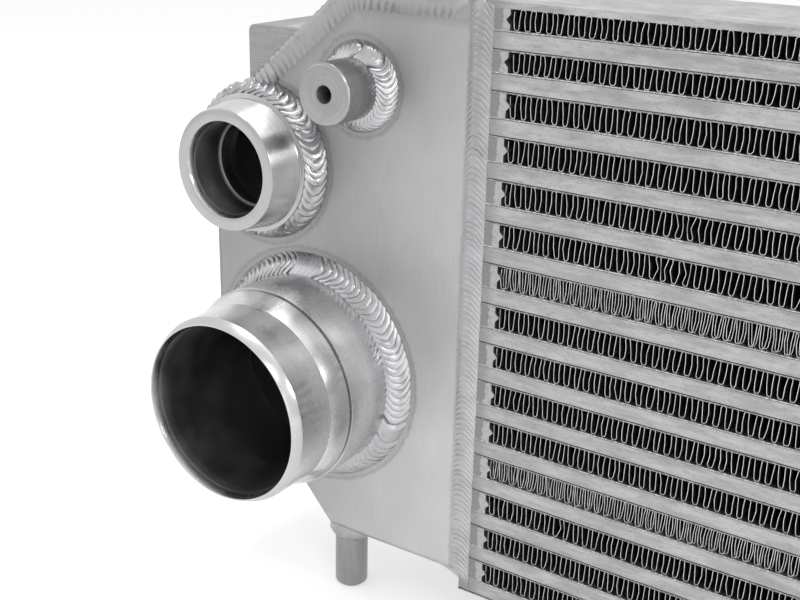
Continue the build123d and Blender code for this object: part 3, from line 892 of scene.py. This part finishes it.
class COOLER_OT_core(bpy.types.Operator):
    """Builds the bars and parting sheets of the core, with rounded and slightly wavy edges"""

    bl_idname = "cooler.core"
    bl_label = "Core"

    def execute(self, context):
        finishes, edge = context.scene.cooler_finishes, context.scene.cooler_sizes.bar_edge
        metal = brazed_bar(finishes)
        under = clad_sheet(finishes, "aluminium_clad_lower_edge", 0.5, 0.25)
        over = clad_sheet(finishes, "aluminium_clad_upper_edge", 0.72, 0.5)
        # the bars stand a little back from the sheets' edges, with a hairline of braze between them
        setback, hairline, sheet_edge = 0.12, 0.1, 0.12 * mm
        inner = (SHEET + hairline, LAYER - SHEET - hairline)
        front = bar("front_bar", (FRONT + setback, FRONT + BAR_DEPTH), inner, edge)
        rear = bar("rear_bar", (BACK - BAR_DEPTH, BACK - setback), inner, edge)
        lower = bar("lower_sheet", (FRONT, BACK), (0, SHEET), sheet_edge)
        upper = bar("upper_sheet", (FRONT, BACK), (LAYER - SHEET, LAYER), sheet_edge)
        layers = ((front, metal, "front_bars", 0.14), (rear, metal, "rear_bars", 0.14),
                  (lower, under, "parting_sheets", 0.1), (upper, over, "parting_sheets", 0.1))
        for i, (layer, *_) in enumerate(rows()):
            for base, finish, node, wave in layers:
                made = copy(base, f"{base.name}_{i + 1:02d}", (0, 0, layer))
                uneven(made, wave, 7.0, "Z")
                settle(made, 35)
                piece(made, finish, "brazed_core", node)
        for base in (front, rear, lower, upper):
            bpy.data.objects.remove(base)
        dress(end_bar_metal(finishes), "left_end_bars", "right_end_bars", "left_closing_bar",
              "right_closing_bar")
        dress(metal, "top_plate")
        return {"FINISHED"}


class COOLER_OT_fins(bpy.types.Operator):
    """Folds the air fins at their true spacing, one strip in each row"""

    bl_idname = "cooler.fins"
    bl_label = "Fins"

    def execute(self, context):
        finishes, wave = context.scene.cooler_finishes, context.scene.cooler_sizes.fin_wave / mm
        # clearance to the sheets above and below
        gap = 0.1
        # in a doubled row the front strip is a narrow ribbon, and the second starts behind and beside it
        edge, ribbon, behind, beside = FRONT + FIN_SETBACK, 0.5, 0.9, 0.75
        metal = fin_strip_metal(finishes, "aluminium_fin_strip", edge)
        deeper = fin_strip_metal(finishes, "aluminium_fin_strip_inner", edge + behind)
        base = fin_wave()
        waves = int((2 * (MIDDLE - FIN_START)) / wave)
        random.seed(7)
        depth = BACK - FRONT - 2 * FIN_SETBACK
        for i, (_, row, height) in enumerate(rows()):
            offset = random.uniform(0, 0.5)
            doubled = i in DOUBLED_ROWS
            made = fin_row(f"air_fin_row_{i + 1:02d}", row + gap, height - 2 * gap, edge,
                           ribbon if doubled else depth, offset, waves, base)
            for x, z, move in BENT_FINS:
                if row < z < row + height:
                    push(made, (x, edge, z), BENT_REACH, (move, 0, 0))
            piece(made, metal, "fin_stock", "air_fins")
            if doubled:
                inner = fin_row(f"air_fin_row_{i + 1:02d}_inner", row + gap, height - 2 * gap, edge + behind,
                                depth - behind, offset + beside, waves - 1, base)
                piece(inner, deeper, "fin_stock", "air_fins")
        bpy.data.objects.remove(base)
        dress(metal, "charge_fins")
        return {"FINISHED"}


class COOLER_OT_tanks(bpy.types.Operator):
    """Gives the two sheet tanks and the mounting block their satin finish"""

    bl_idname = "cooler.tanks"
    bl_label = "Tanks"

    def execute(self, context):
        sheet = satin_sheet(context.scene.cooler_finishes)
        for side in ("left", "right"):
            dress(sheet, f"{side}_tank_tray", f"{side}_tank_roof", f"{side}_tank_back")
        dress(satin_block(context.scene.cooler_finishes), "mounting_block")
        return {"FINISHED"}


class COOLER_OT_hose_ports(bpy.types.Operator):
    """Turns the two hose spigots"""

    bl_idname = "cooler.hose_ports"
    bl_label = "Hose Ports"

    def execute(self, context):
        finishes = context.scene.cooler_finishes
        bore, nose = 36.0, 61.6
        steps = [(bore, 0.0), (HOSE_RADIUS, 0.0), (HOSE_RADIUS, 30.2), (42.7, 30.2), (42.7, 31.5),
                 (43.0, 31.5), (39.6, 39.8), (39.6, 57.6), (37.6, nose), (37.0, nose), (bore, 57.1)]
        left = lathe("hose_spigot_left", steps, HOSE, 180)
        right = mirrored(left, "hose_spigot_right")
        # painted shade in the groove and on the nose
        painted_shade_groove_and_nose = [(FRONT - 31.5, FRONT - 30.2, 0.12), (FRONT - 62.0, FRONT - 57.6, 0.72)]
        for made, side, centre in ((left, "inlet", HOSE), (right, "outlet", OPPOSITE)):
            # painted light: the hose spigots' copy of the turned colour is made brighter
            metal = turned(f"aluminium_turned_{side}", finishes, centre, 1.12, 0.25, (bore, FRONT - nose),
                           painted_shade_groove_and_nose)
            piece(made, metal, "turned_aluminium", f"{side}_port")
        return {"FINISHED"}


class COOLER_OT_ring_port(bpy.types.Operator):
    """Turns the ring port with its flange, bevelled mouth and inner lip"""

    bl_idname = "cooler.ring_port"
    bl_label = "Ring Port"

    def execute(self, context):
        bore, lip = 19.3, 20.8
        steps = [(18.0, 0.0), (RING_RADIUS, 0.0), (RING_RADIUS, 9.2), (27.5, 9.2), (25.5, 24.5), (20.3, 24.5),
                 (bore, lip), (bore, 6.6), (18.6, 6.6), (18.0, 6.0)]
        made = lathe("ring_spigot", steps, RING, 144)
        # painted shade on the mouth's face and on the shoulder
        painted_shade_mouth_and_shoulder = [(FRONT - 26.0, FRONT - 24.3, 0.62), (FRONT - 9.6, FRONT - 8.8, 0.6)]
        metal = turned("aluminium_turned_ring", context.scene.cooler_finishes, RING, 1.0, 0.2,
                       (bore, FRONT - lip), painted_shade_mouth_and_shoulder)
        piece(made, metal, "turned_aluminium", "ring_port")
        return {"FINISHED"}


class COOLER_OT_boss(bpy.types.Operator):
    """Turns the threaded boss and its hole"""

    bl_idname = "cooler.boss"
    bl_label = "Boss"

    def execute(self, context):
        face, thread_pitch = 23.6, 1.25
        hole = [(3.5, 23.3)]
        for i in range(12):
            hole += [(3.4, 22.9 - i * thread_pitch), (3.9, 22.4 - i * thread_pitch)]
        steps = [(BOSS_RADIUS, 0.0), (BOSS_RADIUS, 22.9), (11.5, face), (4.1, face), *hole,
                 (3.4, 7.6), (0.6, 6.0)]
        made = lathe("threaded_boss_turned", steps, BOSS, 96, solid=True, bevel=0.12 * mm)
        # painted shade: the boss's copy of the turned colour is made darker
        metal = turned("aluminium_turned_boss", context.scene.cooler_finishes, BOSS, 0.56, 0.26,
                       (3.95, FRONT - face))
        piece(made, metal, "turned_aluminium", "threaded_boss")
        return {"FINISHED"}


class COOLER_OT_pegs(bpy.types.Operator):
    """Turns the two locating pegs"""

    bl_idname = "cooler.pegs"
    bl_label = "Pegs"

    def execute(self, context):
        steps = [(5.5, 0.0), (7.5, 4.0), (7.5, 29.5), (6.0, 31.0)]
        left = lathe("locating_peg_left", steps, (0.0, FLOOR), 64, solid=True, upright=True)
        metal = drawn_peg(context.scene.cooler_finishes)
        pair(left, "locating_peg_right", metal, "turned_aluminium", "left_peg", "right_peg")
        return {"FINISHED"}


class COOLER_OT_port_beads(bpy.types.Operator):
    """Lays the fillet beads round the ports, the boss and the pegs"""

    bl_idname = "cooler.port_beads"
    bl_label = "Port Beads"

    def execute(self, context):
        sizes = context.scene.cooler_sizes
        metal = weld_metal(context.scene.cooler_finishes, "aluminium_weld_bead_bright", 0.93, 0.27)
        # the hose port's bead: a start, a smooth join at the top and a crater low on the right
        hose_runs = [(146, 94, 1.0), (105, 77, 0.12), (88, -22, 1.0), (-12, -34, 0.12), (-23, -120, 0.7),
                     (-109, -225, 1.0)]
        left = round_bead("inlet_bead", HOSE, HOSE_RADIUS, ((8.2, -0.1), (-0.1, 6.4)), sizes.port_ripple, 4.0,
                          hose_runs, 1)
        pair(left, "outlet_bead", metal, "weld_metal", "inlet_port_weld", "outlet_port_weld")
        ring_runs = [(112, -66, 1.2), (-51, -95, 0.25), (-80, -262, 1.0)]
        ring = round_bead("ring_bead", RING, RING_RADIUS, ((4.9, -0.1), (-0.1, 8.4)), sizes.ring_ripple, 4.2,
                          ring_runs, 11)
        piece(ring, metal, "weld_metal", "ring_port_weld")
        boss_runs = [(150, 70, 0.4), (100, 30, 0.15), (60, -118, 0.9), (-88, -238, 0.5)]
        boss = round_bead("boss_bead", BOSS, BOSS_RADIUS, ((6.2, -0.1), (-0.1, 6.1)), sizes.boss_ripple, 2.8,
                          boss_runs, 21)
        piece(boss, metal, "weld_metal", "boss_weld")
        # a lump of weld round each peg, its upper half inside the tank's floor
        start()
        bpy.ops.mesh.primitive_uv_sphere_add(segments=96, ring_count=48, radius=mm, location=(0, 0, 3.2 * mm))
        peg = context.object
        peg.name = "peg_bead_left"
        bpy.ops.transform.resize(value=(10.2, 9.3, 7.4))
        place_in_mesh()
        uneven(peg, 0.9, 3.0)
        uneven(peg, 0.5, 1.2, "Z")
        settle(peg, 60)
        dull = weld_metal(context.scene.cooler_finishes, "aluminium_weld_bead_peg", 0.8, 0.42)
        pair(peg, "peg_bead_right", dull, "weld_metal", "left_peg_weld", "right_peg_weld")
        return {"FINISHED"}


class COOLER_OT_seam_beads(bpy.types.Operator):
    """Lays the beads along the edges of the tanks and round their joint with the core"""

    bl_idname = "cooler.seam_beads"
    bl_label = "Seam Beads"

    def execute(self, context):
        sizes = context.scene.cooler_sizes
        # painted shade towards the roof on these beads
        metal = weld_metal(context.scene.cooler_finishes, "aluminium_weld_bead_satin", 0.97, 0.42, 0.38)
        corner, foot = Vector(TANK_EDGE[1]), Vector(TANK_EDGE[2])
        low_end, high_start = foot.lerp(corner, 0.5), foot.lerp(corner, 0.4)
        turn_radius, hidden = 8, (-4.0, -4.0)
        # a broad bead beside the block, then a finer one on towards the core
        low_line = rounded([(-69.0, 185.5), tuple(low_end)], turn_radius)
        low = bead("front_seam_low", low_line, ((2.2, -5.3), (-10.2, -0.2)), 6.0, sizes.seam_ripple, 4.6,
                   hidden, FACING, (0, FRONT, 0), 41, firm=1.0, ends=5.0)
        high_line = rounded([tuple(high_start), tuple(corner), (SEAM_END, ROOF)], turn_radius)
        high = bead("front_seam_high", high_line, ((0.1, -7.4), (-8.2, -0.2)), 7.2, sizes.seam_ripple, 3.6,
                    hidden, FACING, (0, FRONT, 0), 42, firm=0.5, ends=5.0)
        front = join("front_seam_bead_left", [low, high])
        pair(front, "front_seam_bead_right", metal, "weld_metal", "left_front_seam_weld",
             "right_front_seam_weld")
        rear_line = [(SEAM_END, FLOOR), *TANK_EDGE[4:0:-1], (SEAM_END, ROOF)]
        rear = bead("rear_seam_bead_left", rounded(rear_line, turn_radius), ((-8.2, 0.2), (0.1, 7.4)), 7.2,
                    sizes.seam_ripple, 3.0, (-4.0, 4.0), FACING, (0, BACK, 0), 43, firm=0.7, ends=5.0)
        pair(rear, "rear_seam_bead_right", metal, "weld_metal", "left_rear_seam_weld", "right_rear_seam_weld")
        # up the front, over the roof and down the back of the core, its feet drawn in towards the core
        round_core = [(FRONT, CORE_BOTTOM + 0.6), (FRONT, ROOF), (BACK, ROOF), (BACK, CORE_BOTTOM + 0.6)]
        at_core = (CORE_LEFT, 0, 0)
        inner_toe, foot_reach, foot_move = 4.6, 9.0, (6.0, 0, 1.8)
        core = bead("core_bead", rounded(round_core, 4), ((0.0, -inner_toe), (0.0, 4.9)), 1.2,
                    sizes.core_ripple, 3.4, (-1.5, 0.0), ACROSS, at_core, 44, firm=0.6, skew=0.85, lean=2.4,
                    ends=1.0)
        for y in (FRONT, BACK):
            push(core, (CORE_LEFT - inner_toe, y, CORE_BOTTOM), foot_reach, foot_move)
        # a smooth run under the tank's floor
        under = bead("core_bead_under", [(FRONT + 3.7, 0.6), (BACK - 3.7, 0.6)], ((-3.4, 3.0), (3.4, -15.0)),
                     -1.0, sizes.core_ripple, 0.0, (3.4, 0.5), ACROSS, at_core, 45, firm=0.02, ends=0.0)
        both = join("core_bead_left", [core, under])
        pair(both, "core_bead_right", metal, "weld_metal", "left_core_weld", "right_core_weld")
        # a wide hollow bead that fills the corner between the block's top and the chamfer above it
        bright = weld_metal(context.scene.cooler_finishes, "aluminium_weld_bead_block", 1.0, 0.28)
        block_x, block_z = -20.1, 226.4
        on_block = bead("block_bead", [(-4.6, block_z), (41.0, block_z)], ((0.2, -15.0), (12.2, 14.3)), -1.6,
                        sizes.ring_ripple, 6.0, (-2.0, 1.0), ACROSS, (block_x, 0, 0), 51, firm=0.9, ends=6.0)
        piece(on_block, bright, "weld_metal")
        dress(bright, "block_weld")
        return {"FINISHED"}


class COOLER_PT_panel(bpy.types.Panel):
    """Lists the steps that build the cooler"""

    bl_idname = "COOLER_PT_panel"
    bl_label = "Charge Air Cooler"
    bl_space_type = "VIEW_3D"
    bl_region_type = "UI"
    bl_category = "Cooler"

    def draw(self, context):
        for operator in OPERATORS:
            self.layout.operator(operator.bl_idname)
        for group in (context.scene.cooler_sizes, context.scene.cooler_finishes):
            for name in group.__annotations__:
                self.layout.prop(group, name)


OPERATORS = (COOLER_OT_stage, COOLER_OT_core, COOLER_OT_fins, COOLER_OT_tanks, COOLER_OT_hose_ports,
             COOLER_OT_ring_port, COOLER_OT_boss, COOLER_OT_pegs, COOLER_OT_port_beads, COOLER_OT_seam_beads)
CLASSES = (CoolerSizes, CoolerFinishes, *OPERATORS, COOLER_PT_panel)


def register():
    for cls in CLASSES:
        bpy.utils.register_class(cls)
    bpy.types.Scene.cooler_sizes = bpy.props.PointerProperty(type=CoolerSizes)
    bpy.types.Scene.cooler_finishes = bpy.props.PointerProperty(type=CoolerFinishes)


def unregister():
    del bpy.types.Scene.cooler_finishes
    del bpy.types.Scene.cooler_sizes
    for cls in reversed(CLASSES):
        bpy.utils.unregister_class(cls)


def main():
    register()
    for operator in OPERATORS:
        group, name = operator.bl_idname.split(".")
        getattr(getattr(bpy.ops, group), name)()


if __name__ == "__main__":
    main()
